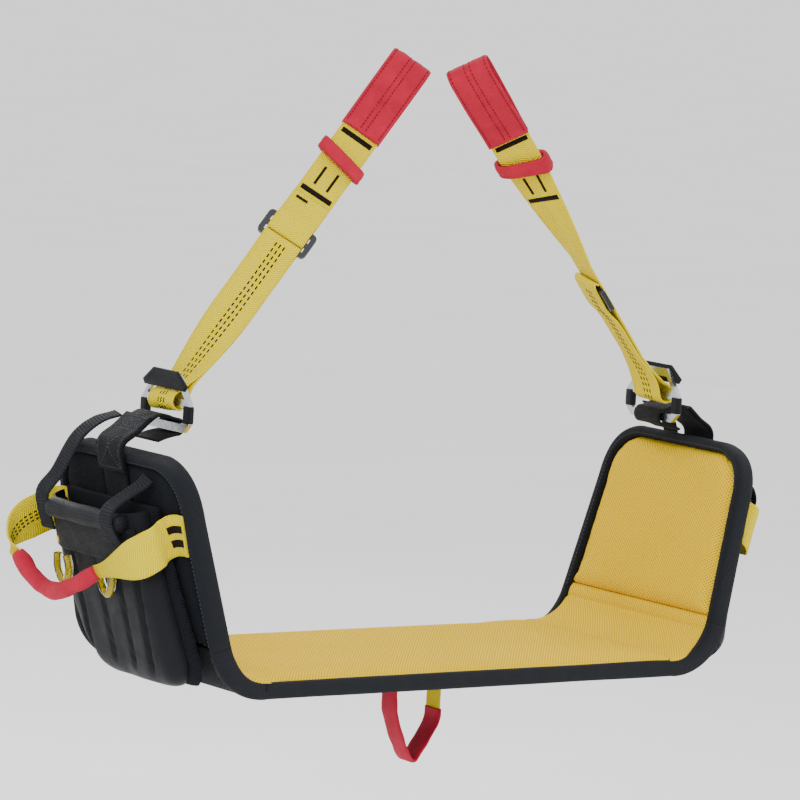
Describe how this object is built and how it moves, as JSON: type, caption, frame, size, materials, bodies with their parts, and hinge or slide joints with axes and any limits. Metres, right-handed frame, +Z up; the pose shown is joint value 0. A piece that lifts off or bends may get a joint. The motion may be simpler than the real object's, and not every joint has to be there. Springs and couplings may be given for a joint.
{
  "type": "tree climbing saddle",
  "caption": "Suspended padded board seat with folding side wings, tool pouches, gear loops, steel rings and adjustable webbing risers ending in hanging loops.",
  "frame": {"origin": "the point that both top loops hang from, above the middle of the seat", "axes": "+Z up, +X to the right of someone facing the seat, along its width, +Y to the back of the seat"},
  "size_m": [0.926, 0.275, 0.7747],
  "materials": {
    "yellow_mesh": "woven spacer mesh",
    "yellow_webbing": "ribbed woven webbing",
    "red_cloth": "plain woven cloth",
    "black_mesh": "spacer mesh",
    "black_cloth": "smooth coated cloth",
    "black_webbing": "ribbed woven webbing",
    "black_binding": "folded binding tape",
    "board": "plain sealed",
    "steel": "satin",
    "black_metal": "satin black",
    "clear_tube": "clear tube over a yellow cord"
  },
  "bodies": {
    "seat": {"seat_pad": "yellow_mesh", "seat_board": "board", "seat_base_cover": "black_cloth", "seat_front_binding": "black_binding", "seat_rear_binding": "black_binding", "under_seat_anchor": "black_webbing", "left_fold_panel": "black_mesh", "right_fold_panel": "black_mesh"},
    "under_seat_loop": {"under_seat_sleeve": "red_cloth", "under_seat_webbing_left": "yellow_webbing", "under_seat_webbing_right": "yellow_webbing"},
    "left_wing": {"left_wing_pad": "yellow_mesh", "left_wing_shell": "black_mesh", "left_wing_binding": "black_binding", "left_suspension_webbing": "black_webbing", "left_anchor_patch": "black_webbing", "left_pouch_back_pad": "black_mesh", "left_pouch_body": "black_cloth", "left_pouch_mouth_roll": "black_cloth", "left_pouch_band": "black_cloth", "left_front_strap": "black_webbing", "left_rear_strap": "black_webbing"},
    "left_ring": {"left_ring_frame": "steel", "left_ring_guard": "black_cloth"},
    "left_riser": {"left_riser_lower_webbing": "yellow_webbing"},
    "left_adjuster_slider": {"left_adjuster": "black_metal"},
    "left_riser_top": {"left_riser_upper_webbing": "yellow_webbing", "left_top_loop": "red_cloth"},
    "left_keeper": {"left_keeper_loop": "red_cloth"},
    "left_gear_loop": {"left_gear_front_webbing": "yellow_webbing", "left_gear_sleeve": "red_cloth", "left_gear_rear_webbing": "yellow_webbing"},
    "left_front_small_loop": {"left_front_clear_loop": "clear_tube"},
    "left_rear_small_loop": {"left_rear_clear_loop": "clear_tube"},
    "right_wing": {"right_wing_pad": "yellow_mesh", "right_wing_shell": "black_mesh", "right_wing_binding": "black_binding", "right_suspension_webbing": "black_webbing", "right_anchor_patch": "black_webbing", "right_pouch_back_pad": "black_mesh", "right_pouch_body": "black_cloth", "right_pouch_mouth_roll": "black_cloth", "right_pouch_band": "black_cloth", "right_front_strap": "black_webbing", "right_rear_strap": "black_webbing"},
    "right_ring": {"right_ring_frame": "steel", "right_ring_guard": "black_cloth"},
    "right_riser": {"right_riser_lower_webbing": "yellow_webbing"},
    "right_adjuster_slider": {"right_adjuster": "black_metal"},
    "right_riser_top": {"right_riser_upper_webbing": "yellow_webbing", "right_top_loop": "red_cloth"},
    "right_keeper": {"right_keeper_loop": "red_cloth"},
    "right_gear_loop": {"right_gear_front_webbing": "yellow_webbing", "right_gear_sleeve": "red_cloth", "right_gear_rear_webbing": "yellow_webbing"},
    "right_front_small_loop": {"right_front_clear_loop": "clear_tube"},
    "right_rear_small_loop": {"right_rear_clear_loop": "clear_tube"}
  },
  "joints": [
    {"name": "left_wing_fold", "type": "hinge", "parent": "seat", "child": "left_wing", "pos_m": [-0.31, 0, -0.63], "axis": [0, 1, 0], "range_deg": [-30, 10], "deforming": ["left_fold_panel"]},
    {"name": "left_ring_swing", "type": "hinge", "parent": "left_wing", "child": "left_ring", "pos_m": [-0.326, 0, -0.38], "axis": [0, 1, 0], "range_deg": [-15, 15]},
    {"name": "left_riser_swing", "type": "hinge", "parent": "left_ring", "child": "left_riser", "pos_m": [-0.326, 0, -0.354], "axis": [0, 1, 0], "range_deg": [-12, 35]},
    {"name": "left_adjuster_slide", "type": "slide", "parent": "left_riser", "child": "left_adjuster_slider", "axis": [0.6528, 0.0626, 0.755], "range_m": [-0.06, 0.02], "deforming": ["left_riser_lower_webbing"]},
    {"name": "left_riser_length", "type": "slide", "parent": "left_riser", "child": "left_riser_top", "axis": [0.6528, 0.0626, 0.755], "range_m": [-0.02, 0.06], "deforming": ["left_riser_upper_webbing"]},
    {"name": "left_keeper_slide", "type": "slide", "parent": "left_riser_top", "child": "left_keeper", "axis": [0.6528, 0.0626, 0.755], "range_m": [-0.012, 0.012]},
    {"name": "left_gear_swing", "type": "hinge", "parent": "left_wing", "child": "left_gear_loop", "pos_m": [-0.37491, 0, -0.48128], "axis": [0, 1, 0], "range_deg": [-8, 25], "deforming": ["left_gear_front_webbing", "left_gear_rear_webbing"]},
    {"name": "left_front_small_loop_swing", "type": "hinge", "parent": "left_wing", "child": "left_front_small_loop", "pos_m": [-0.40656, -0.022, -0.52422], "axis": [0, 1, 0], "range_deg": [0, 30]},
    {"name": "left_rear_small_loop_swing", "type": "hinge", "parent": "left_wing", "child": "left_rear_small_loop", "pos_m": [-0.40656, 0.062, -0.52422], "axis": [0, 1, 0], "range_deg": [0, 30]},
    {"name": "right_wing_fold", "type": "hinge", "parent": "seat", "child": "right_wing", "pos_m": [0.31, 0, -0.63], "axis": [0, 1, 0], "range_deg": [-10, 30], "deforming": ["right_fold_panel"]},
    {"name": "right_ring_swing", "type": "hinge", "parent": "right_wing", "child": "right_ring", "pos_m": [0.326, 0, -0.38], "axis": [0, 1, 0], "range_deg": [-15, 15]},
    {"name": "right_riser_swing", "type": "hinge", "parent": "right_ring", "child": "right_riser", "pos_m": [0.326, 0, -0.354], "axis": [0, 1, 0], "range_deg": [-35, 12]},
    {"name": "right_adjuster_slide", "type": "slide", "parent": "right_riser", "child": "right_adjuster_slider", "axis": [-0.6528, -0.0626, 0.755], "range_m": [-0.06, 0.02], "deforming": ["right_riser_lower_webbing"]},
    {"name": "right_riser_length", "type": "slide", "parent": "right_riser", "child": "right_riser_top", "axis": [-0.6528, -0.0626, 0.755], "range_m": [-0.02, 0.06], "deforming": ["right_riser_upper_webbing"]},
    {"name": "right_keeper_slide", "type": "slide", "parent": "right_riser_top", "child": "right_keeper", "axis": [-0.6528, -0.0626, 0.755], "range_m": [-0.012, 0.012]},
    {"name": "right_gear_swing", "type": "hinge", "parent": "right_wing", "child": "right_gear_loop", "pos_m": [0.37491, 0, -0.48128], "axis": [0, 1, 0], "range_deg": [-25, 8], "deforming": ["right_gear_front_webbing", "right_gear_rear_webbing"]},
    {"name": "right_front_small_loop_swing", "type": "hinge", "parent": "right_wing", "child": "right_front_small_loop", "pos_m": [0.40656, -0.022, -0.52422], "axis": [0, 1, 0], "range_deg": [-30, 0]},
    {"name": "right_rear_small_loop_swing", "type": "hinge", "parent": "right_wing", "child": "right_rear_small_loop", "pos_m": [0.40656, 0.062, -0.52422], "axis": [0, 1, 0], "range_deg": [-30, 0]},
    {"name": "under_seat_loop_swing", "type": "hinge", "parent": "seat", "child": "under_seat_loop", "pos_m": [0, -0.02, -0.6566], "axis": [1, 0, 0], "range_deg": [-30, 30], "deforming": ["under_seat_webbing_left", "under_seat_webbing_right"]}
  ],
  "couplings": [
    {"joint": "left_riser_length", "follows": "left_adjuster_slide", "ratio": -1},
    {"joint": "right_riser_length", "follows": "right_adjuster_slide", "ratio": -1}
  ]
}
